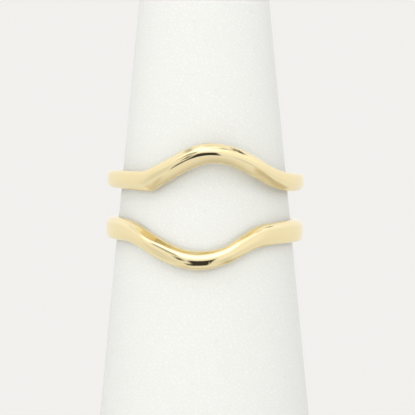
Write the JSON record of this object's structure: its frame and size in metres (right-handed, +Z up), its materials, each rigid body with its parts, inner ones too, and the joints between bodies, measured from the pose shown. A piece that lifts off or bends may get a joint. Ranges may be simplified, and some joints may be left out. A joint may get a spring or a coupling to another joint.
{
  "type": "ring guard enhancer on a display cone",
  "caption": "Curved gold ring guard whose arched bands leave an eye for a centre ring, standing upright on a tapered display cone.",
  "frame": {"origin": "centre of the display cone's base, on the surface that it stands on", "axes": "+Z up along the cone and the finger hole, -Y out of the front between the arches, +X to the right seen from the front"},
  "size_m": [0.0248, 0.0248, 0.076],
  "materials": {
    "gold": "polished yellow gold",
    "leatherette": "white, fine grained"
  },
  "bodies": {
    "root": {"ring_guard": "gold", "display_cone": "leatherette"}
  },
  "joints": []
}
